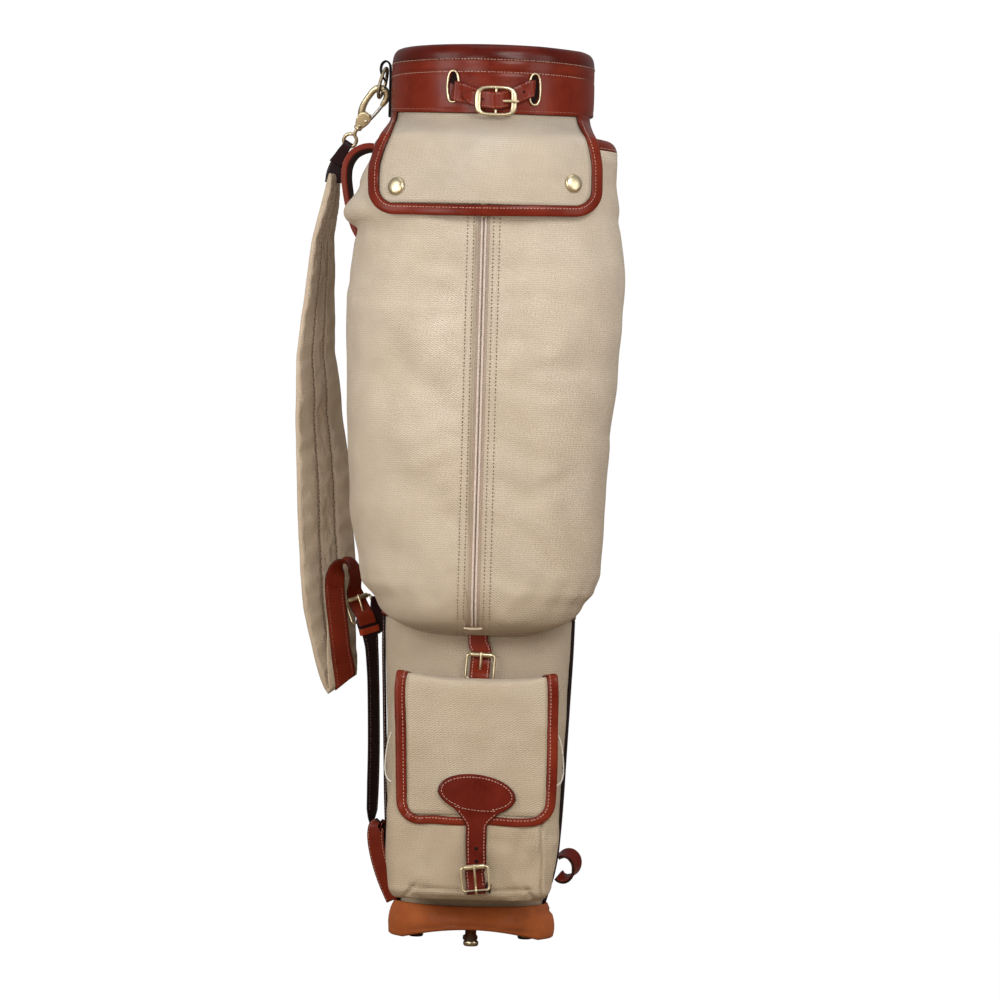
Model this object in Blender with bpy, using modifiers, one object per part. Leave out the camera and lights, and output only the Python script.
"""Golf bag: a slim canvas tube with leather cuff, boot and trims.

The front of the bag faces -Y, +X is on the right seen from the front, +Z is up.
The origin is on the floor under the middle of the base.
Dimensions are in millimetres and become metres through MM.
"""
import math

import bmesh
import bpy
from mathutils import Matrix, Vector

MM = 0.001
WORLD_AXES = ((1, 0, 0), (0, 1, 0), (0, 0, 1))
X_AXIS, Y_AXIS, Z_AXIS = WORLD_AXES

# ---------------------------------------------------------------- shared dimensions
TUBE_TOP = 871.5
# Canvas tube: (height, outside radius)
TUBE_PROFILE = [
    (22.0, 70.5), (42.0, 71.5), (64.0, 78.5), (85.0, 82.5), (107.0, 84.5), (140.0, 86.5),
    (190.0, 88.5), (290.0, 92.5), (345.0, 93.6), (820.0, 97.5), (TUBE_TOP, 97.5),
]
TUBE_WALL = 3.5
TUBE_SEGMENTS = 32
CUFF_RADIUS = 101.3

# ---------------------------------------------------------------- finishes
CANVAS = dict(kind="canvas", colour=(0.66, 0.56, 0.42), roughness=0.9)
LEATHER = dict(kind="oxblood_leather", colour=(0.20, 0.035, 0.018), roughness=0.42)
TAN = dict(kind="tan_leather", colour=(0.22, 0.06, 0.015), roughness=0.5)
DARK = dict(kind="dark_leather", colour=(0.03, 0.008, 0.008), roughness=0.5)
BRASS = dict(kind="antique_brass", colour=(0.58, 0.46, 0.24), roughness=0.35, metallic=1.0)
STEEL = dict(kind="spring_steel", colour=(0.45, 0.45, 0.46), roughness=0.35, metallic=1.0)
BOARD = dict(kind="base_board", colour=(0.12, 0.09, 0.07), roughness=0.8)
TAPE = dict(kind="zip_tape", colour=(0.55, 0.46, 0.38), roughness=0.7)


def material(owner, kind, colour, roughness, metallic=0.0):
    """A Principled material named after the part that owns it."""
    made = bpy.data.materials.new(owner + "_" + kind)
    made.use_nodes = True
    node = made.node_tree.nodes["Principled BSDF"]
    node.inputs["Base Color"].default_value = (*colour, 1.0)
    node.inputs["Roughness"].default_value = roughness
    node.inputs["Metallic"].default_value = metallic
    made.diffuse_color = (*colour, 1.0)
    return made


# ---------------------------------------------------------------- scene
def new_collection(name):
    made = bpy.data.collections.new(name)
    bpy.context.scene.collection.children.link(made)
    return made


for old in list(bpy.data.objects):
    bpy.data.objects.remove(old, do_unlink=True)
bag = new_collection("golf_bag")
cutters = new_collection("cutters")


# ---------------------------------------------------------------- making parts
def mesh_from(shape, name):
    """Turn a bmesh into a mesh and free it."""
    mesh = bpy.data.meshes.new(name)
    shape.to_mesh(mesh)
    shape.free()
    return mesh


def smooth(mesh):
    mesh.shade_smooth()
    mesh.set_sharp_from_angle(angle=math.radians(35))


def add_part(name, data, look, pivot=(0, 0, 0)):
    """Link a new object with its origin on the pivot; its data is relative to the pivot."""
    part = bpy.data.objects.new(name, data)
    bag.objects.link(part)
    part.location = Vector(pivot) * MM
    data.materials.append(material(name, **look))
    return part


def solidify(part, thickness, offset=-1.0):
    modifier = part.modifiers.new("thickness", 'SOLIDIFY')
    modifier.thickness = thickness * MM
    modifier.offset = offset
    modifier.use_even_offset = True
    modifier.use_quality_normals = True


def bevel_edges(part, width, segments):
    modifier = part.modifiers.new("edge", 'BEVEL')
    modifier.width = width * MM
    modifier.segments = segments
    modifier.limit_method = 'ANGLE'


def sheet(name, rows, thickness, look, pivot=(0, 0, 0), offset=-1.0):
    """An open surface through a grid of points, given a thickness."""
    shape = bmesh.new()
    origin = Vector(pivot)
    grid = [[shape.verts.new((Vector(point) - origin) * MM) for point in row] for row in rows]
    for row, following in zip(grid, grid[1:]):
        for i in range(len(row) - 1):
            shape.faces.new((row[i], row[i + 1], following[i + 1], following[i]))
    mesh = mesh_from(shape, name)
    smooth(mesh)
    part = add_part(name, mesh, look, pivot)
    solidify(part, thickness, offset)
    return part


def strap(name, path, across, widths, thickness, look, pivot=(0, 0, 0)):
    """A flat strap centred on a path; across and widths are one value or one per point."""
    points = [Vector(point) for point in path]
    last = len(points) - 1
    if not isinstance(across, list):
        across = [across] * len(points)
    if not isinstance(widths, list):
        widths = [widths] * len(points)
    rows = []
    for i, point in enumerate(points):
        tangent = (points[min(i + 1, last)] - points[max(i - 1, 0)]).normalized()
        side = Vector(across[i])
        side = (side - tangent * side.dot(tangent)).normalized() * widths[i] / 2
        rows.append([point - side, point + side])
    return sheet(name, rows, thickness, look, pivot, offset=0.0)


def rod(name, path, radius, look, cyclic=False, pivot=(0, 0, 0), radii=None, resolution=2):
    """A round rod, wire or ring as a bevelled poly curve; radii scale the radius per point."""
    curve = bpy.data.curves.new(name, 'CURVE')
    curve.dimensions = '3D'
    curve.bevel_depth = radius * MM
    curve.bevel_resolution = resolution
    curve.use_fill_caps = True
    spline = curve.splines.new('POLY')
    spline.points.add(len(path) - 1)
    for i, point in enumerate(path):
        spline.points[i].co = (*((Vector(point) - Vector(pivot)) * MM), 1.0)
        spline.points[i].radius = radii[i] if radii else 1.0
    spline.use_cyclic_u = cyclic
    spline.use_smooth = True
    return add_part(name, curve, look, pivot)


def turned(name, profile, look, closed=False, steps=TUBE_SEGMENTS):
    """A part turned about Z from a profile of (radius, height)."""
    shape = bmesh.new()
    verts = [shape.verts.new((radius * MM, 0.0, z * MM)) for radius, z in profile]
    for start, end in zip(verts, verts[1:]):
        shape.edges.new((start, end))
    if closed:
        shape.edges.new((verts[-1], verts[0]))
    part = add_part(name, mesh_from(shape, name), look)
    modifier = part.modifiers.new("turn", 'SCREW')
    modifier.angle = 2 * math.pi
    modifier.steps = steps
    modifier.render_steps = steps
    modifier.use_merge_vertices = True
    modifier.merge_threshold = 0.00001
    modifier.use_smooth_shade = True
    return part


def band(name, radii, heights, look):
    """A plain turned ring between two (outer, inner) radii and two (top, bottom) heights."""
    (outer, inner), (top, bottom) = radii, heights
    profile = [(outer, top), (outer, bottom), (inner, bottom), (inner, top)]
    return turned(name, profile, look, closed=True)


def cylinder(name, start, end, radius, look, segments=16, pivot=None, bevel=0.0):
    """A round disc or pin between two points; its origin is in its middle without a pivot."""
    start, end = Vector(start), Vector(end)
    middle = (start + end) / 2
    pivot = middle if pivot is None else Vector(pivot)
    shape = bmesh.new()
    bmesh.ops.create_cone(shape, cap_ends=True, segments=segments, radius1=radius * MM,
                          radius2=radius * MM, depth=(end - start).length * MM)
    turn = (end - start).to_track_quat('Z', 'Y').to_matrix().to_4x4()
    move = Matrix.Translation((middle - pivot) * MM)
    bmesh.ops.transform(shape, matrix=move @ turn, verts=shape.verts)
    mesh = mesh_from(shape, name)
    smooth(mesh)
    part = add_part(name, mesh, look, pivot)
    if bevel:
        bevel_edges(part, bevel, segments=1)
    return part


def block(name, size, centre, axes, look, bevel=0.0):
    """A box with its sides along three given directions."""
    shape = bmesh.new()
    bmesh.ops.create_cube(shape, size=1.0)
    turn = Matrix([Vector(axis).normalized() for axis in axes]).transposed().to_4x4()
    scale = Matrix.Diagonal((size[0] * MM, size[1] * MM, size[2] * MM, 1.0))
    bmesh.ops.transform(shape, matrix=turn @ scale, verts=shape.verts)
    part = add_part(name, mesh_from(shape, name), look, centre)
    if bevel:
        bevel_edges(part, bevel, segments=2)
    return part


def combine(target, helper, label, operation):
    """Apply a hidden helper to a part with a boolean."""
    for collection in list(helper.users_collection):
        collection.objects.unlink(helper)
    cutters.objects.link(helper)
    helper.hide_render = True
    helper.display_type = 'WIRE'
    modifier = target.modifiers.new(label, 'BOOLEAN')
    modifier.operation = operation
    modifier.solver = 'EXACT'
    modifier.object = helper


def cut(target, cutter):
    combine(target, cutter, "cut", 'DIFFERENCE')


def join(target, other):
    combine(target, other, "join", 'UNION')


def to_mesh(part, name):
    """Replace a curve object by a closed mesh object in the same place."""
    bpy.context.view_layer.update()
    graph = bpy.context.evaluated_depsgraph_get()
    mesh = bpy.data.meshes.new_from_object(part.evaluated_get(graph))
    shape = bmesh.new()
    shape.from_mesh(mesh)
    bmesh.ops.remove_doubles(shape, verts=shape.verts, dist=0.00001)
    shape.to_mesh(mesh)
    shape.free()
    placement = part.matrix_world.copy()
    bpy.data.objects.remove(part, do_unlink=True)
    made = bpy.data.objects.new(name, mesh)
    bag.objects.link(made)
    made.matrix_world = placement
    return made


# ---------------------------------------------------------------- geometry
def interpolate(table, z, ease=False):
    """Value at a height in a table of (height, value); ease makes each step smooth."""
    if z <= table[0][0]:
        return table[0][1]
    for (low, first), (high, second) in zip(table, table[1:]):
        if z <= high:
            share = (z - low) / (high - low)
            if ease:
                share = share * share * (3 - 2 * share)
            return first + (second - first) * share
    return table[-1][1]


def tube_radius(z):
    return interpolate(TUBE_PROFILE, z)


def at_depth(y, pairs):
    """Points from (x, z) pairs in one plane across Y."""
    return [(x, y, z) for x, z in pairs]


def arc(centre_x, centre_y, radius_x, radius_y, start, end, steps):
    """Pairs along a flat ellipse, angles in degrees."""
    pairs = []
    for i in range(steps + 1):
        angle = math.radians(start + (end - start) * i / steps)
        pairs.append((centre_x + radius_x * math.cos(angle),
                      centre_y + radius_y * math.sin(angle)))
    return pairs


def ellipse(centre, first, second, count):
    """Closed ring of points; first and second are the two half axes."""
    angles = [2 * math.pi * i / count for i in range(count)]
    return [centre + first * math.cos(a) + second * math.sin(a) for a in angles]


def rounded_rectangle(reach, low, high, radius):
    """Closed outline; reach, low and high place the centres of the corner arcs."""
    pairs = []
    for x, y, start in ((reach, high, 0), (-reach, high, 90),
                        (-reach, low, 180), (reach, low, 270)):
        pairs += arc(x, y, radius, radius, start, start + 90, 3)
    return pairs


# ---------------------------------------------------------------- tube and base
INNER_HEIGHTS = (22.0, 42.0, 64.0, 107.0, 190.0, 345.0, TUBE_TOP)
PIPING_HEIGHTS = (42.5, 53, 64, 85, 107, 140, 190, 290, 321.5)
PIPING_STANDOFF = 2.1
PIPING_RADIUS = 1.6
# (radius, height)
BASE_BOARD_PROFILE = [(0, 27.0), (66.0, 27.0), (66.4, 26.6), (66.4, 22.2), (66.0, 21.9), (0, 21.9)]

BOOT_FLOOR_LOW, BOOT_FLOOR_HIGH = 18.0, 21.5
BOOT_SKIRT = 6.0
BOOT_TOP = 39.0
# (radius, height)
BOOT_PROFILE = [
    (0, BOOT_FLOOR_HIGH), (71.3, BOOT_FLOOR_HIGH), (72.4, BOOT_TOP - 1), (73.6, BOOT_TOP),
    (75.5, BOOT_TOP), (79.2, 35.5), (82.0, 25.0), (82.8, 16.0), (81.6, BOOT_SKIRT),
    (77.5, BOOT_SKIRT), (77.5, BOOT_FLOOR_LOW), (0, BOOT_FLOOR_LOW),
]
BOOT_ARCH_RADIUS = 210.0
BOOT_ARCH_TOP = 17.0
BOOT_ARCH_REACH = 120

FOOT_SPACING = 63.0
# (radius, height)
FOOT_PROFILE = [(0, 17.7), (5.2, 17.7), (5.2, 6.0), (7.5, 5.0), (7.5, 1.6), (6.2, 0.0), (0, 0.0)]
# (name, x, y)
FEET = [
    ("centre", 0, 0), ("front", 1.0, -FOOT_SPACING),
    ("rear_left", -0.87 * FOOT_SPACING, 0.5 * FOOT_SPACING),
    ("rear_right", 0.87 * FOOT_SPACING, 0.5 * FOOT_SPACING),
]


def build_body():
    """The canvas tube and the piping down its lower sides."""
    outer = [(radius, z) for z, radius in reversed(TUBE_PROFILE)]
    inner = [(tube_radius(z) - TUBE_WALL, z) for z in INNER_HEIGHTS]
    turned("body_shell", outer + inner, CANVAS, closed=True)
    for side, name in ((-1, "left"), (1, "right")):
        path = [(side * (tube_radius(z) + PIPING_STANDOFF), 0.0, z) for z in PIPING_HEIGHTS]
        rod("side_piping_" + name, path, PIPING_RADIUS, DARK)


def build_base():
    """The board, the leather boot with an arch cut front to back, and the foot studs."""
    turned("base_board", BASE_BOARD_PROFILE, BOARD)
    boot = turned("base_boot", BOOT_PROFILE, TAN, steps=36)
    arch_z = BOOT_ARCH_TOP - BOOT_ARCH_RADIUS
    cut(boot, cylinder("boot_arch_cutter", (0, -BOOT_ARCH_REACH, arch_z),
                       (0, BOOT_ARCH_REACH, arch_z), BOOT_ARCH_RADIUS, TAN, segments=64))
    for name, x, y in FEET:
        stud = turned("foot_stud_" + name, FOOT_PROFILE, BRASS, steps=14)
        stud.location = (x * MM, y * MM, 0.0)


# ---------------------------------------------------------------- bands, rim and stay
CUFF_BOTTOM = 819.0
# (radius, height)
RIM_PROFILE = [
    (91.5, 888.0), (96.0, 886.5), (99.5, 882.5), (101.2, 876.5), (101.2, 871.9),
    (91.4, 871.9), (91.4, 862.0), (84.0, 862.0), (84.0, 880.0), (87.0, 886.3),
]
DIVIDER_SIZE = (166.0, 9.0, 62.0)
DIVIDER_Z = 835.0
STAY_Y = 14.0
STAY_WIRE_RADIUS = 2.5
# Half width and height of the stay: its thinner upper end and its foot.
STAY_TOP = [(90.9, 856.0), (90.9, 848.0)]
STAY_FOOT = [(61.0, 44.0), (56.0, 35.5), (49.0, 31.5)]
STAY_WALL_HEIGHTS = (836.0, 345.0, 190.0, 107.0, 64.0)


def build_bands():
    """The cuff, the mid belt, the rolled rim and the divider in the mouth."""
    band("cuff_leather", (CUFF_RADIUS, 97.9), (TUBE_TOP, CUFF_BOTTOM), LEATHER)
    band("mid_belt", (97.0, 94.0), (344.0, 323.0), LEATHER)
    turned("rim_roll", RIM_PROFILE, LEATHER, closed=True)
    block("club_divider", DIVIDER_SIZE, (0, 0, DIVIDER_Z), WORLD_AXES, CANVAS, bevel=2.5)


def stay_x(z):
    """How far out the stay runs, just inside the tube's wall."""
    free = (tube_radius(z) - TUBE_WALL) * 0.992 - 3.2
    return math.sqrt(free * free - STAY_Y * STAY_Y)


def build_stay():
    """The U-shaped steel wire inside the tube, welded to the hoop at the top."""
    hoop = band("top_hoop", (93.6, 92.2), (868.0, 842.0), STEEL)
    half = STAY_TOP + [(stay_x(z), z) for z in STAY_WALL_HEIGHTS] + STAY_FOOT
    radii = [0.5] * len(STAY_TOP) + [1.0] * (len(half) - len(STAY_TOP))
    path = at_depth(STAY_Y, [(-x, z) for x, z in half] + half[::-1])
    wire = rod("stay_frame_wire", path, STAY_WIRE_RADIUS, STEEL, radii=radii + radii[::-1])
    join(to_mesh(wire, "stay_frame"), hoop)


# ---------------------------------------------------------------- garment pocket
POCKET_FRONT = -148.5           # front face of the pocket
POCKET_WIDEST_Y = -45.0
POCKET_SIDE_DEPTH = 48.0        # from the widest place back to the side seam
POCKET_TOP = 786.0
POCKET_BOTTOM = 310.0
POCKET_SIDE_RISE = 44.0         # how much higher the lower seam is at the sides
POCKET_ROUNDING = 46.0          # height over which the pocket swells from its lower seam
POCKET_SKIN = 2.4
SEAM_STANDOFF = 6.6             # from the tube to the pocket's outer face at its seams
FRONT_SHARE = 0.76              # share of the half girth in front of the widest place
PLAN_POWER = 2.3                # exponent of the superellipse plan
# (height, half width) on each side
POCKET_LEFT = [
    (341.0, 106.0), (362.0, 117.8), (375.0, 119.8), (437.0, 130.7), (536.0, 136.1),
    (635.0, 137.6), (695.0, 133.0), (721.0, 141.5), (750.0, 128.0), (POCKET_TOP, 116.0),
]
POCKET_RIGHT = [
    (339.0, 108.8), (353.0, 116.0), (372.0, 120.0), (426.0, 120.8), (504.0, 125.0),
    (563.0, 131.0), (623.0, 134.0), (663.0, 135.0), (722.0, 129.0), (758.0, 124.5),
    (POCKET_TOP, 124.5),
]
# (height, distance of the front face from the tube's axis)
POCKET_DEPTH = [(700.0, -POCKET_FRONT), (760.0, -POCKET_FRONT), (775.0, 144.0),
                (POCKET_TOP, 136.5)]
# Stations down the pocket, from mouth to lower seam, and round it from left to right.
DOWN = [0.0, 0.023, 0.053, 0.095, 0.14, 0.19, 0.32, 0.50, 0.68, 0.86, 0.91, 0.95, 0.98, 1.0]
AROUND = ([-1.0, -0.92, -0.84] + [i / 7 * FRONT_SHARE for i in range(-7, 8)]
          + [0.84, 0.92, 1.0])


def pocket_half_width(x, z):
    return interpolate(POCKET_LEFT if x < 0 else POCKET_RIGHT, z, ease=True)


def pocket_point(turn, z):
    """Outer face of the pocket; turn runs -1..1 from the left seam round the front."""
    depth = interpolate(POCKET_DEPTH, z) + POCKET_WIDEST_Y
    seam_x = tube_radius(z) + SEAM_STANDOFF
    wide = max(pocket_half_width(turn, z), seam_x + 2)
    side = -1 if turn < 0 else 1
    share = abs(turn)
    if share <= FRONT_SHARE:
        angle = share / FRONT_SHARE * math.pi / 2
        power = 2 / PLAN_POWER
        x = wide * math.sin(angle) ** power
        y = POCKET_WIDEST_Y - depth * max(math.cos(angle), 0.0) ** power
    else:
        angle = (share - FRONT_SHARE) / (1 - FRONT_SHARE) * math.pi / 2
        x = seam_x + (wide - seam_x) * math.cos(angle)
        y = POCKET_WIDEST_Y + POCKET_SIDE_DEPTH * math.sin(angle)
    return Vector((side * x, y, z))


def pocket_surface(turn, down):
    """Point on the pocket; down runs 0..1 from the mouth to the U-shaped lower seam."""
    low = POCKET_BOTTOM + POCKET_SIDE_RISE * abs(turn) ** 3.2
    z = POCKET_TOP + (low - POCKET_TOP) * down
    rise = min((z - low) / POCKET_ROUNDING, 1.0)
    swell = math.sqrt(max(1 - (1 - rise) ** 2, 0.0))
    full = pocket_point(turn, z)
    flat = Vector((full.x, full.y, 0)).normalized() * (tube_radius(z) + SEAM_STANDOFF)
    flat.z = z
    return flat.lerp(full, swell)


def build_garment_pocket():
    rows = [[pocket_surface(turn, down) for turn in AROUND] for down in DOWN]
    sheet("garment_pocket", rows, POCKET_SKIN, CANVAS, offset=1.0)


def build_mouth_binding():
    """A leather strip round the pocket's mouth, leaning in towards the tube."""
    first_inset, inset_step = 1.4, 5.8
    first_rise, rise_step = 0.5, 5.0
    rows = []
    for k in range(3):
        row = []
        for turn in AROUND[2:-2]:
            point = pocket_point(turn, POCKET_TOP)
            flat = Vector((point.x, point.y, 0))
            flat = flat.normalized() * (flat.length - first_inset - inset_step * k)
            row.append((flat.x, flat.y, POCKET_TOP + first_rise + rise_step * k))
        rows.append(row)
    sheet("pocket_mouth_binding", rows, 2.6, LEATHER, offset=1.0)


ZIP_X = -4.7
ZIP_STATIONS = (0.06, 0.19, 0.50, 0.86, 0.91, 0.95)
TAPE_STANDOFF = 1.3
SLIDER_TOP = 741.0
SLIDER_SIZE = (8.5, 3.0, 12.0)
SLIDER_BACK = POCKET_FRONT - 2.4
PULL_Y = SLIDER_BACK - 4.1


def build_zip():
    """The tape down the pocket's front, with its slider and pull."""
    path = [pocket_surface(0.0, down) for down in ZIP_STATIONS]
    tape = []
    for i, point in enumerate(path):
        tangent = (path[min(i + 1, len(path) - 1)] - path[max(i - 1, 0)]).normalized()
        lift = Vector((0, tangent.z, -tangent.y)).normalized() * TAPE_STANDOFF
        tape.append((ZIP_X, point.y + lift.y, point.z + lift.z))
    strap("zip_tape", tape, X_AXIS, 13.0, 1.3, TAPE)

    _, thickness, height = SLIDER_SIZE
    centre = (ZIP_X, SLIDER_BACK - thickness / 2, SLIDER_TOP - height / 2)
    block("zip_slider", SLIDER_SIZE, centre, WORLD_AXES, BRASS, bevel=0.8)
    pull = [(ZIP_X, PULL_Y, SLIDER_TOP - drop) for drop in (3, 20, 24)]
    strap("zip_pull", pull, X_AXIS, [4.0, 5.5, 4.0], 1.2, BRASS, pivot=pull[0])


# ---------------------------------------------------------------- cover flap
FLAP_HINGE = (0.0, -118.0, 808.0)
# (height, distance of the flap's front from the tube's axis)
FLAP_FRONT = [(716.0, 158.0), (745.0, 158.0), (760.0, 155.5), (775.0, 149.0), (790.0, 138.0),
              (805.0, 122.0), (817.0, 104.5)]
# (height, half width) of each side edge
FLAP_LEFT = [(743.0, 119.0), (755.0, 119.3), (766.0, 118.4), (792.0, 112.6)]
FLAP_RIGHT = [(745.0, 109.8), (755.0, 110.0), (771.0, 109.9), (801.0, 106.7)]
FLAP_SIDE_HEIGHTS = (789.0, 778.0, 766.0, 755.0)
FLAP_ROW_HEIGHTS = (730.0, 732.0, 736.0, 745.0, 755.0, 765.0, 775.0, 783.0, 790.0, 796.0,
                    801.0, 806.0)
# Lower corners: (centre x, centre z, radius along x); both have the same radius along z.
LEFT_CORNER = (-92.0, 743.0, 27.0)
RIGHT_CORNER = (82.0, 745.0, 28.0)
CORNER_HEIGHT = 27.0
FLAP_CLEARANCE = 9.0            # how much wider than the pocket the flap's plan is
FLAP_SKIN = 1.6
BINDING_WIDTH = 11.0
BINDING_THICKNESS = 3.0
# (name, x, z)
SNAPS = [("left", -90.5, 743.3), ("right", 80.9, 750.4)]


def flap_outline(inset):
    """(x, z) round the flap from its upper left, along the bottom, to its upper right."""
    left_x, left_z, left_radius = LEFT_CORNER
    right_x, right_z, right_radius = RIGHT_CORNER
    height = CORNER_HEIGHT - inset
    pairs = [(-interpolate(FLAP_LEFT, z) + inset, z) for z in FLAP_SIDE_HEIGHTS]
    pairs += arc(left_x, left_z, left_radius - inset, height, 180, 270, 6)
    for k in range(1, 8):
        pairs.append((left_x + (right_x - left_x) * k / 8,
                      left_z - height + (right_z - left_z) * k / 8))
    pairs += arc(right_x, right_z, right_radius - inset, height, 270, 360, 6)
    return pairs + [(interpolate(FLAP_RIGHT, z) - inset, z) for z in FLAP_SIDE_HEIGHTS[::-1]]


def flap_point(x, z, lift=0.0):
    """Middle of the flap's skin over the pocket's rounded front."""
    wide = pocket_half_width(x, z) + FLAP_CLEARANCE + lift
    deep = interpolate(FLAP_FRONT, z) + POCKET_WIDEST_Y + lift
    bow = max(1 - (abs(x) / wide) ** PLAN_POWER, 0.0) ** (1 / PLAN_POWER)
    return (x, POCKET_WIDEST_Y - deep * bow, z)


def flap_normal(x, z):
    """Direction straight out of the flap."""
    along = Vector(flap_point(x + 1, z)) - Vector(flap_point(x - 1, z))
    upward = Vector(flap_point(x, z + 1)) - Vector(flap_point(x, z - 1))
    return along.cross(upward).normalized()


def flap_canvas_edge(z, side):
    """x of the canvas edge inside the binding; side is -1 on the left, 1 on the right."""
    inset = BINDING_WIDTH + 1.3
    corner_x, corner_z, radius = LEFT_CORNER if side < 0 else RIGHT_CORNER
    if z < corner_z:
        drop = (z - corner_z) / (CORNER_HEIGHT - inset)
        return corner_x + side * (radius - inset) * math.sqrt(max(1 - drop ** 2, 0.0))
    reach = interpolate(FLAP_LEFT if side < 0 else FLAP_RIGHT, z) - inset
    # The canvas stops where its surface would pass behind a plane sloping from the hinge.
    back = FLAP_HINGE[1] + 0.466 * (FLAP_HINGE[2] - z)
    free = 6.0
    while free < reach and flap_point(side * free, z)[1] < back:
        free += 1.0
    return side * min(reach, free)


def build_cover_flap():
    rows = [[flap_point(x, z, 0.8) for x, z in flap_outline(inset)]
            for inset in (BINDING_WIDTH, 0.0)]
    sheet("flap_binding", rows, BINDING_THICKNESS, LEATHER, pivot=FLAP_HINGE, offset=0.0)
    rows = []
    for z in FLAP_ROW_HEIGHTS:
        left, right = flap_canvas_edge(z, -1), flap_canvas_edge(z, 1)
        rows.append([flap_point(left + (right - left) * i / 12, z) for i in range(13)])
    sheet("flap_canvas", rows, FLAP_SKIN, CANVAS, pivot=FLAP_HINGE, offset=0.0)


def build_snaps():
    """A cap on the flap and a stud on the pocket at each lower corner of the flap."""
    for name, x, z in SNAPS:
        out = flap_normal(x, z)
        face = Vector(flap_point(x, z))
        cylinder("snap_cap_" + name, face + out * 1.6, face + out * 4.6, 9.0, BRASS,
                 pivot=FLAP_HINGE, bevel=0.9)
        turns = [k / 400 for k in range(-300, 301)]
        turn = min(turns, key=lambda candidate: abs(pocket_point(candidate, z).x - x))
        wall = pocket_point(turn, z)
        ahead = pocket_point(turn + 0.004, z) - pocket_point(turn - 0.004, z)
        out = Vector((ahead.y, -ahead.x, 0)).normalized()
        cylinder("snap_stud_" + name, wall + out * 0.7, wall + out * 3.4, 5.0, BRASS, bevel=0.5)


# ---------------------------------------------------------------- buckles
BUCKLE_WIRE = 1.5               # radius of the frame's wire
BUCKLE_CORNER = 3.0
ROLLER_BORE = BUCKLE_WIRE + 0.35
ROLLER_RADIUS = BUCKLE_WIRE + 1.15
PRONG_RADIUS = 1.1
PRONG_EYE = BUCKLE_WIRE + 0.45 + PRONG_RADIUS       # radius of the prong's loop on the bar
PRONG_REST = ROLLER_RADIUS + 0.3 + PRONG_RADIUS     # height of its tip over the roller
PRONG_WRAP_ANGLES = range(-60, -331, -30)
CHAPE_WRAP = 2.75               # radius of a strap end's centreline round the heel bar
CHAPE_WRAP_ANGLES = range(-100, 141, 40)
# (up, out) of a strap that rises from behind the roller to lie over the heel bar
OVER_HEEL = [(15.5, -2.4), (9.0, 1.6), (4.0, 4.7), (0, 5.1)]


class LocalFrame:
    """Directions across, up and out at an origin."""

    def __init__(self, origin, up, out):
        self.origin = Vector(origin)
        self.out = Vector(out).normalized()
        up = Vector(up)
        self.up = (up - self.out * up.dot(self.out)).normalized()
        self.across = self.up.cross(self.out)

    def at(self, across, up, out):
        return self.origin + self.across * across + self.up * up + self.out * out

    def along(self, pairs):
        """Points on the middle plane from (up, out) pairs."""
        return [self.at(0, up, out) for up, out in pairs]

    def wrap(self, radius, angles):
        """Points round the across axis, angles in degrees from up towards out."""
        return self.along([(radius * math.cos(math.radians(a)), radius * math.sin(math.radians(a)))
                           for a in angles])


def build_buckle(prefix, local, width, length, frame_pivot=(0, 0, 0)):
    """A roller buckle; local starts on the heel bar, with up running to the roller."""
    outline = rounded_rectangle(width / 2 - BUCKLE_CORNER, BUCKLE_CORNER,
                                length - BUCKLE_CORNER, BUCKLE_CORNER)
    rod(prefix + "_frame", [local.at(x, y, 0) for x, y in outline], BUCKLE_WIRE, BRASS,
        cyclic=True, pivot=frame_pivot, resolution=1)

    half = (width - 2 * BUCKLE_CORNER - 1.0) / 2
    profile = [(ROLLER_RADIUS, half), (ROLLER_RADIUS, -half),
               (ROLLER_BORE, -half), (ROLLER_BORE, half)]
    roller = turned(prefix + "_roller", profile, BRASS, closed=True, steps=16)
    turn = local.across.to_track_quat('Z', 'Y').to_matrix().to_4x4()
    roller.matrix_world = Matrix.Translation(local.at(0, length, 0) * MM) @ turn

    path = local.wrap(PRONG_EYE, PRONG_WRAP_ANGLES)
    path += local.along([(PRONG_EYE + 3.2, 1.6), (length * 0.55, PRONG_REST * 0.85),
                         (length - 2, PRONG_REST), (length + 1.6, PRONG_REST)])
    rod(prefix + "_prong", path, PRONG_RADIUS, BRASS, pivot=local.origin, resolution=1)


def cut_slot(target, local, low, high):
    """Cut the prong's slot through a strap, from low to high along a buckle."""
    size = (5.4, high - low, 16.0)
    axes = (local.across, local.up, local.out)
    cut(target, block(target.name + "_slot_cutter", size, local.at(0, (low + high) / 2, 0),
                      axes, LEATHER))


def build_hanger():
    """The buckle on the front under the garment pocket, with its two straps."""
    local = LocalFrame((2.4, -101.5, 265.5), up=(0.06, -0.05, 1.0), out=(0.0, -1.0, 0.0))
    build_buckle("hanger_buckle", local, width=27.0, length=23.5)
    path = [(0.0, -96.6, 305.0), (0.5, -96.9, 297.0)]
    path += local.along([(27.0, -3.95), (20.5, -3.95)] + OVER_HEEL + [(-4.5, 4.4)])
    cut_slot(strap("hanger_strap", path, local.across, 19.0, 1.7, LEATHER), local, -3.2, 19.0)
    path = local.along([(-16.0, -5.6), (-10.0, -4.6), (-6.0, -3.9)])
    path += local.wrap(CHAPE_WRAP, CHAPE_WRAP_ANGLES)
    cut_slot(strap("hanger_chape", path, local.across, 18.0, 1.5, LEATHER), local, -3.4, 6.0)


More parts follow.
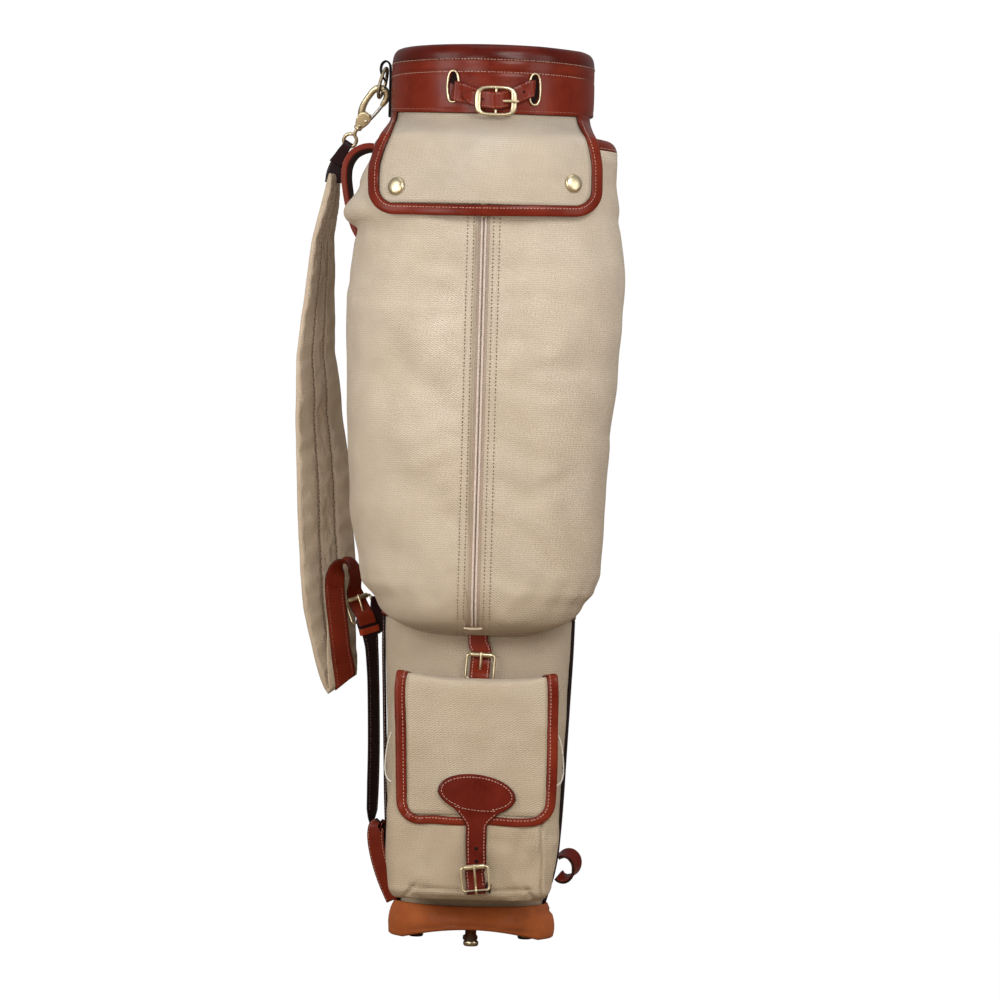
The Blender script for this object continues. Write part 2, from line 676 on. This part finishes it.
# ---------------------------------------------------------------- ball pocket
BALL_FRONT = -151.0             # front face of the pocket
BALL_BOTTOM = 52.0
BALL_HEIGHTS = (BALL_BOTTOM, 57.0, 66.0, 85.0, 107.0, 140.0, 190.0, 258.0)
BALL_CORNER = 14.0
BALL_SEAM_Y = -40.0
BALL_FLAP_FOLD = (0.0, -153.0, 265.0)
BALL_FLAP_Y = BALL_FRONT - 3.4  # middle of the flap's thickness
PATCH_THICKNESS = 2.0
PATCH_Y = BALL_FLAP_Y - BINDING_THICKNESS / 2 - 0.4 - PATCH_THICKNESS / 2
# (y, z) of the hood's rows, back to front
HOOD_ROWS = [(-109.5, 260.2), (-120.0, 262.2), (-136.0, 263.8), (-150.0, 264.2)]
HOOD_LEFT, HOOD_WIDTH = -79.0, 156.0


def ball_ring(z):
    """Plan of the ball pocket: left seam, round the front, right seam, back along the tube."""
    bulge = 6.0 * math.sin(math.pi * min(max((z - BALL_BOTTOM) / 130.0, 0.0), 1.0))
    tuck = max(0.0, 1 - (z - BALL_BOTTOM) / 14.0) * 5.0
    left, right = -78.0 - 0.6 * bulge + tuck, 75.0 + bulge - tuck
    front = BALL_FRONT + tuck
    body = tube_radius(z) + 0.8
    seam_x = math.sqrt(body * body - BALL_SEAM_Y * BALL_SEAM_Y) + 0.5
    corner = BALL_CORNER
    pairs = [(-seam_x, BALL_SEAM_Y), (left, -62.0), (left, -95.0)]
    pairs += arc(left + corner, front + corner, corner, corner, 180, 270, 4)
    pairs += [(-25.0, front), (25.0, front)]
    pairs += arc(right - corner, front + corner, corner, corner, 270, 360, 4)
    pairs += [(right, -95.0), (right, -62.0), (seam_x, BALL_SEAM_Y)]
    seam_angle = math.atan2(BALL_SEAM_Y, seam_x)
    for k in range(1, 10):
        angle = seam_angle + (-math.pi - 2 * seam_angle) * k / 10
        pairs.append((body * math.cos(angle) * 1.004, body * math.sin(angle) * 1.004))
    return [(x, y, z) for x, y in pairs]


def build_ball_pocket():
    """An open-topped box whose back follows the tube, with a floor."""
    shape = bmesh.new()
    rings = [[shape.verts.new(Vector(point) * MM) for point in ball_ring(z)]
             for z in BALL_HEIGHTS]
    for lower, upper in zip(rings, rings[1:]):
        for i in range(len(lower)):
            j = (i + 1) % len(lower)
            shape.faces.new((lower[i], lower[j], upper[j], upper[i]))
    shape.faces.new(list(reversed(rings[0])))
    bmesh.ops.recalc_face_normals(shape, faces=shape.faces)
    mesh = mesh_from(shape, "ball_pocket")
    smooth(mesh)
    solidify(add_part("ball_pocket", mesh, CANVAS), 2.0)

    rows = [[(HOOD_LEFT + HOOD_WIDTH * i / 8, y, z) for i in range(9)] for y, z in HOOD_ROWS]
    sheet("ball_pocket_hood", rows, 1.8, CANVAS)


def ball_outline(inset):
    """(x, z) round the ball flap from its upper left, along the bottom, to its upper right."""
    inset_x, inset_z = inset * 0.95, inset * 0.78
    pairs = [(-79.0 + inset, 262.0), (-78.0 + inset, 240.0), (-76.8 + inset, 205.0),
             (-75.5 + inset, 165.0)]
    pairs += arc(-52.0, 146.0, 22.0 - inset_x, 23.5 - inset_z, 180, 270, 5)
    pairs += [(x, 122.5 + inset_z) for x in (-26.0, 0.0, 26.0)]
    pairs += arc(54.0, 147.0, 25.5 - inset_x, 24.5 - inset_z, 270, 360, 5)
    pairs += [(80.5 - inset, 165.0), (80.5 - inset, 205.0), (79.2 - inset, 240.0),
              (78.0 - inset, 262.0)]
    return pairs


def ball_flap_point(x, z):
    """Point on the flap, which leans back near its fold."""
    return (x, BALL_FLAP_Y + 1.6 * max(0.0, (z - 245.0) / 20.0), z)


def build_ball_flap():
    rows = [[ball_flap_point(x, z) for x, z in ball_outline(inset)] for inset in (10.5, 0.0)]
    sheet("ball_flap_binding", rows, BINDING_THICKNESS, LEATHER, pivot=BALL_FLAP_FOLD,
          offset=0.0)
    edge = ball_outline(11.0)
    rows = []
    for (left, left_z), (right, right_z) in list(zip(edge, reversed(edge)))[:9]:
        z = (left_z + right_z) / 2
        rows.append([ball_flap_point(left + (right - left) * i / 6, z) for i in range(7)])
    sheet("ball_flap_canvas", rows, FLAP_SKIN, CANVAS, pivot=BALL_FLAP_FOLD, offset=0.0)


def ball_patch():
    """The oval leather patch with a strap running down from it."""
    outline = arc(3.2, 156.2, 37.3, 18.4, -58, 238, 24)
    outline += [(-7.0, 132.0), (-6.6, 110.0), (-5.2, 84.0)]
    outline += [(14.6, 84.0), (13.4, 110.0), (13.2, 132.0)]
    curve = bpy.data.curves.new("ball_patch_strap", 'CURVE')
    curve.dimensions = '2D'
    curve.fill_mode = 'BOTH'
    curve.extrude = PATCH_THICKNESS / 2 * MM
    spline = curve.splines.new('POLY')
    spline.points.add(len(outline) - 1)
    fold_x, _, fold_z = BALL_FLAP_FOLD
    for i, (x, z) in enumerate(outline):
        spline.points[i].co = ((x - fold_x) * MM, (z - fold_z) * MM, 0.0, 1.0)
    spline.use_cyclic_u = True
    part = add_part("ball_patch_strap_outline", curve, LEATHER, (fold_x, PATCH_Y, fold_z))
    part.rotation_euler = (math.pi / 2, 0.0, 0.0)
    return to_mesh(part, "ball_patch_strap")


def build_ball_closure():
    """The patch and strap, one piece, with the buckle that it carries."""
    patch = ball_patch()
    local = LocalFrame((5.2, PATCH_Y - 4.2, 62.5), up=(-0.11, 0.0, 1.0), out=(0.0, -1.0, 0.0))
    build_buckle("ball_buckle", local, width=26.0, length=23.0, frame_pivot=BALL_FLAP_FOLD)
    path = [(4.6, PATCH_Y, 86.6)]
    path += local.along([(19.0, -4.2), (8.0, -4.2), (1.4, -CHAPE_WRAP)])
    path += local.wrap(CHAPE_WRAP, range(-100, -261, -40))
    across = [X_AXIS] + [local.across] * (len(path) - 1)
    end = strap("ball_strap_end", path, across, 17.5, 1.5, LEATHER, pivot=BALL_FLAP_FOLD)
    cut_slot(end, local, -6.0, 4.6)
    join(patch, end)


# ---------------------------------------------------------------- cuff strap
CUFF_BUCKLE_X, CUFF_BUCKLE_Z = 3.7, 831.2
CUFF_CORNER_X, CUFF_CORNER_Z, CUFF_CORNER_RADIUS = 17.0, 11.0, 2.6
# (name, x, z)
CUFF_LOOPS = [("left", -38.9, 845.6), ("right", 41.5, 844.7)]
# (x, z, lift off the cuff)
CUFF_CHAPE = [
    (-38.0, 840.5, 4.6), (-32.0, 839.5, 4.7), (-24.0, 837.5, 2.4), (-12.0, 834.0, 1.4),
    (CUFF_BUCKLE_X - 4.0, 832.0, 1.4),
]
CUFF_BILLET = [
    (40.5, 846.0, 4.6), (34.5, 843.5, 4.7), (30.0, 841.0, 3.6), (24.0, 838.0, 3.2),
    (18.0, 835.4, 3.6), (CUFF_BUCKLE_X + 6.0, 832.4, 10.6), (CUFF_BUCKLE_X, CUFF_BUCKLE_Z, 12.4),
    (CUFF_BUCKLE_X - 6.0, 831.8, 11.2), (-14.0, 833.6, 4.6), (-22.0, 836.0, 5.0),
    (-30.0, 838.0, 7.0),
]


def cuff_at(x, z, lift):
    """Point on the cuff's front, lifted off its surface."""
    radius = CUFF_RADIUS + lift
    return Vector((x, -math.sqrt(radius * radius - x * x), z))


def build_cuff_loops():
    for name, x, z in CUFF_LOOPS:
        up = Vector(Z_AXIS)
        side = up.cross(cuff_at(x, 0, 0).normalized())
        ring = ellipse(cuff_at(x, z, 1.75), side * 5.9, up * 15.2, 16)
        rod("cuff_loop_" + name, ring, 1.0, BRASS, cyclic=True, resolution=1)


def build_cuff_buckle(local):
    """A gently bowed frame with an upright middle bar, and its prong."""
    bar = local.origin
    outline = rounded_rectangle(CUFF_CORNER_X, -CUFF_CORNER_Z, CUFF_CORNER_Z,
                                CUFF_CORNER_RADIUS)
    ring = [bar + Vector((x, x * 0.035 - 0.2 + 0.0022 * x * x, z)) for x, z in outline]
    curve = rod("cuff_buckle_outline", ring, 1.35, BRASS, cyclic=True)
    reach = Vector((0, 0, CUFF_CORNER_Z + CUFF_CORNER_RADIUS))
    middle = cylinder("cuff_buckle_bar", bar - reach, bar + reach, 1.2, BRASS, segments=12)
    join(to_mesh(curve, "cuff_buckle_frame"), middle)

    path = local.wrap(2.75, PRONG_WRAP_ANGLES)
    path += local.along([(6.0, 1.8), (12.0, 3.0), (18.0, 3.0), (21.2, 2.2)])
    rod("cuff_buckle_prong", path, 1.05, BRASS, pivot=bar, resolution=1)


def build_cuff_strap():
    """The strap that wraps the middle bar, and the strap that runs over it."""
    local = LocalFrame(cuff_at(CUFF_BUCKLE_X, CUFF_BUCKLE_Z, 7.4), up=X_AXIS, out=(0, -1, 0))
    path = [cuff_at(*station) for station in CUFF_CHAPE]
    path += local.wrap(2.7, range(-90, 111, 40))
    chape = strap("cuff_strap_chape", path, Z_AXIS, [19.0, 19.0, 18.0] + [17.0] * 8, 1.5,
                  LEATHER)
    path = [cuff_at(*station) for station in CUFF_BILLET]
    billet = strap("cuff_strap_billet", path, Z_AXIS, [16.5] * 9 + [15.0, 6.0], 1.6, LEATHER)
    build_cuff_buckle(local)
    for target in (chape, billet):
        cut(target, block(target.name + "_slot_cutter", (15.0, 26.0, 4.6),
                          local.at(0, 3.0, 0), WORLD_AXES, LEATHER))


# ---------------------------------------------------------------- sling: ring and hook
# (x, z) of the tab folded over the cuff's top edge
ANCHOR_TAB = [(-102.9, 824.0), (-102.9, 850.0), (-103.0, 868.0), (-104.0, 875.0),
              (-107.4, 877.8), (-111.4, 875.4), (-112.6, 871.0)]


def square_to(direction, axis):
    """The part of a direction that is square to an axis, as a unit vector."""
    direction = Vector(direction)
    return (direction - axis * direction.dot(axis)).normalized()


HOOK = Vector((-113.2, 18.4, 846.0))
HOOK_DOWN = Vector((-0.50, 0.36, -0.79)).normalized()
HOOK_SIDE = square_to((0.84, 0.05, -0.52), HOOK_DOWN)
HOOK_EYE_DOWN = 59.0            # centre of the eye, down the hook
# (down, side, wire radius)
HOOK_BODY = [
    (44.0, 0.0, 3.6), (38.0, -0.5, 4.4), (31.0, -3.0, 3.6), (22.0, -7.0, 2.0),
    (8.0, -7.6, 1.9), (0.0, -6.6, 1.9), (-4.2, -3.2, 1.9), (-5.6, 1.2, 1.9),
    (-3.6, 5.6, 1.9), (1.0, 8.0, 1.9), (8.0, 8.2, 1.7),
]
HOOK_GATE = [(32.5, 5.4), (22.0, 7.0), (10.6, 8.4)]     # (down, side)
# (down from the eye's lower end, out, width) of the tab folded through the eye
SLING_TAB = [
    (13.0, 1.6, 10.0), (3.0, 3.2, 8.6), (-1.5, 3.1, 8.2), (-3.8, 1.6, 8.0), (-4.2, 0.0, 8.0),
    (-3.8, -1.6, 8.0), (-1.5, -3.1, 8.2), (3.0, -3.2, 8.6), (13.0, -1.8, 11.0),
]
SLING_TAB_END, SLING_TAB_END_WIDTH = Vector((-158.4, 50.3, 766.8)), 13.5


def hook_at(down, side):
    return HOOK + HOOK_DOWN * down + HOOK_SIDE * side


def build_sling_anchor():
    """The tab at the cuff's top edge and the oval ring hanging from it."""
    strap("cuff_anchor_tab", at_depth(15.0, ANCHOR_TAB), Y_AXIS, 7.0, 1.6, DARK)
    along = Vector((-0.22, 0.10, -0.97)).normalized()
    side = square_to((0.3, 0.95, 0.0), along)
    ring = ellipse(Vector((-110.6, 16.4, 856.2)), along * 15.0, side * 8.0, 18)
    rod("sling_ring", ring, 1.35, BRASS, cyclic=True, resolution=1)


def build_hook():
    """The spring hook, its gate and eye, and the tab that ties it to the sling."""
    rod("hook_body", [hook_at(down, side) for down, side, _ in HOOK_BODY], 1.0, BRASS,
        radii=[radius for _, _, radius in HOOK_BODY])
    gate = [hook_at(down, side) for down, side in HOOK_GATE]
    rod("hook_gate", gate, 1.5, BRASS, pivot=gate[0])
    eye_length, eye_width = 7.0, 6.6
    eye = [(48.2, 0.0)] + arc(HOOK_EYE_DOWN, 0.0, -eye_length, eye_width, 12, 348, 11)
    rod("hook_eye", [hook_at(down, side) for down, side in eye], 1.4, BRASS)

    low = hook_at(HOOK_EYE_DOWN + eye_length, 0.0)
    out_direction = HOOK_DOWN.cross(HOOK_SIDE)
    path = [low + HOOK_DOWN * down + out_direction * out for down, out, _ in SLING_TAB]
    widths = [width for _, _, width in SLING_TAB]
    strap("sling_tab", path + [SLING_TAB_END], HOOK_SIDE, widths + [SLING_TAB_END_WIDTH], 1.4,
          DARK)


# ---------------------------------------------------------------- sling: pad and lower buckle
# (x, y, z, width, degrees that the width is turned from Y towards X)
SLING_PAD = [
    (-158.6, 50.5, 764.5, 15.0, 38), (-161.0, 51.5, 740.0, 26.0, 28),
    (-166.4, 52.0, 700.0, 40.0, 27), (-170.4, 52.5, 640.0, 54.0, 27),
    (-171.4, 52.5, 575.0, 58.0, 36), (-169.6, 51.5, 530.0, 60.0, 40),
    (-166.0, 50.0, 490.0, 60.0, 45), (-161.5, 47.0, 430.0, 60.0, 51),
    (-156.4, 43.5, 370.0, 58.0, 56), (-152.6, 42.0, 330.0, 56.0, 58),
    (-145.4, 40.0, 290.0, 48.0, 60), (-140.4, 38.6, 268.0, 42.0, 62),
    (-136.6, 37.4, 250.0, 34.0, 64),
]
# Lower strap: (x, y, z) up from behind the pad to the buckle, then on down the bag's side.
STRAP_RISE = [
    (-132.6, 25.2, 243.0), (-133.6, 22.5, 255.0), (-138.0, 17.5, 290.0), (-143.0, 12.5, 330.0),
    (-145.6, 11.0, 352.0), (-144.6, 12.0, 363.0), (-140.0, 14.5, 371.0), (-133.6, 17.6, 372.4),
]
STRAP_FALL = [
    (-106.6, 17.0, 290.0), (-104.4, 17.5, 262.0), (-103.0, 18.0, 230.0), (-101.4, 17.0, 190.0),
    (-101.4, 16.0, 155.0), (-101.8, 15.0, 128.0), (-102.0, 14.6, 116.0),
]
SLING_HEEL = (-114.2, 22.0, 317.0)
SLING_DOWN = Vector((0.34, -0.10, -0.93))       # down the buckle
SLING_ROLLER = Vector((0.86, 0.16, -0.42))      # along its roller
STRAP_LEAVES = [(-6.0, 4.6), (-13.0, 2.4)]      # (up, out) of the strap below the heel bar
# (across, out) round the keeper
KEEPER_OUTLINE = [
    (0, 2.3), (-8, 2.3), (-10.6, 1.6), (-11.2, 0), (-10.6, -1.6), (-8, -2.3),
    (0, -2.3), (8, -2.3), (10.6, -1.6), (11.2, 0), (10.6, 1.6), (8, 2.3),
]


def build_sling_pad():
    across = [(math.sin(math.radians(turn)), math.cos(math.radians(turn)), 0)
              for _, _, _, _, turn in SLING_PAD]
    strap("sling_pad", [station[:3] for station in SLING_PAD], across,
          [station[3] for station in SLING_PAD], 7.0, CANVAS)


def build_sling_straps(local):
    """The long strap through the lower buckle and the short one on its heel bar."""
    path = STRAP_RISE + [local.at(0, 31.0, -1.8) + Vector((-1.5, 0, 0))]
    path += local.along([(25.5, -3.9), (20.5, -3.9)] + OVER_HEEL + STRAP_LEAVES) + STRAP_FALL
    across = [(0.97, 0.2, 0)] * 7 + [(0.93, 0.25, -0.2)]
    across += [local.across] * 9 + [(0.75, 0.6, 0)] * 7
    end = strap("sling_end_strap", path, across, [19.0] * 22 + [14.0, 5.0], 1.7, LEATHER)
    cut_slot(end, local, -3.6, 19.0)

    path = [local.at(0, -17.0, -4.6) + Vector((5.5, 2.4, 8.0)),
            local.at(0, -9.0, -4.4) + Vector((1.0, 0.8, 1.0))]
    path += local.wrap(CHAPE_WRAP, CHAPE_WRAP_ANGLES)
    cut_slot(strap("sling_chape", path, local.across, 17.0, 1.5, DARK), local, -3.4, 6.0)


def build_keeper(local):
    """The loop round the strap below the lower buckle."""
    centre = local.at(0, -11.0, 3.2)
    above, below = local.along(STRAP_LEAVES)
    tangent = (below - above).normalized()
    normal = local.across.cross(tangent).normalized()
    shape = bmesh.new()
    first, second = [
        [shape.verts.new((centre + local.across * across + normal * out + tangent * shift) * MM)
         for across, out in KEEPER_OUTLINE]
        for shift in (-3.0, 3.0)]
    for i in range(len(first)):
        j = (i + 1) % len(first)
        shape.faces.new((first[i], first[j], second[j], second[i]))
    bmesh.ops.recalc_face_normals(shape, faces=shape.faces)
    keeper = add_part("sling_keeper", mesh_from(shape, "sling_keeper"), LEATHER)
    solidify(keeper, 1.2, offset=1.0)


def build_sling_end():
    local = LocalFrame(SLING_HEEL, up=-SLING_DOWN, out=SLING_DOWN.cross(SLING_ROLLER))
    build_buckle("sling_buckle", local, width=27.0, length=23.5)
    build_sling_straps(local)
    build_keeper(local)


# ---------------------------------------------------------------- handles and loop
CARRY_HANDLE = [
    (-103.6, 19.0, 776.0), (-107.0, 19.0, 786.0), (-117.0, 19.5, 790.5), (-126.0, 20.0, 790.0),
    (-136.5, 20.0, 784.5), (-142.6, 20.0, 775.0), (-144.4, 20.0, 764.0), (-142.6, 20.0, 747.0),
    (-139.0, 20.0, 730.0), (-133.0, 20.0, 710.0), (-124.0, 19.5, 697.0), (-112.0, 19.0, 690.0),
    (-103.8, 19.0, 686.0),
]
# (x, z)
LOWER_HANDLE = [
    (-80.4, 44.0), (-87.6, 60.0), (-94.4, 80.0), (-98.2, 98.0), (-98.4, 108.0),
    (-96.2, 114.4), (-92.2, 113.6), (-90.4, 106.0), (-89.6, 97.0),
]
UMBRELLA_LOOP = [
    (87.6, 86.0), (93.0, 91.0), (100.0, 91.5), (106.0, 86.0), (107.6, 77.0),
    (104.4, 67.0), (98.0, 60.5), (91.5, 59.5), (87.2, 63.0),
]


def build_handles():
    """Two handles on the left side and the umbrella loop low on the right."""
    strap("carry_handle", CARRY_HANDLE, (0.25, 1, 0), 17.0, 3.2, LEATHER,
          pivot=(-104.0, 19.0, 731.0))
    strap("lower_handle", at_depth(-13.0, LOWER_HANDLE), (0.55, -0.83, 0), 16.0, 2.6, LEATHER,
          pivot=(-85.0, -13.0, 70.0))
    strap("umbrella_loop", at_depth(11.0, UMBRELLA_LOOP), Y_AXIS, 15.0, 2.2, LEATHER,
          pivot=(88.0, 11.0, 74.0))


# ---------------------------------------------------------------- the whole bag
build_body()
build_base()
build_bands()
build_stay()
build_garment_pocket()
build_mouth_binding()
build_zip()
build_cover_flap()
build_snaps()
build_hanger()
build_ball_pocket()
build_ball_flap()
build_ball_closure()
build_cuff_loops()
build_cuff_strap()
build_sling_anchor()
build_hook()
build_sling_pad()
build_sling_end()
build_handles()
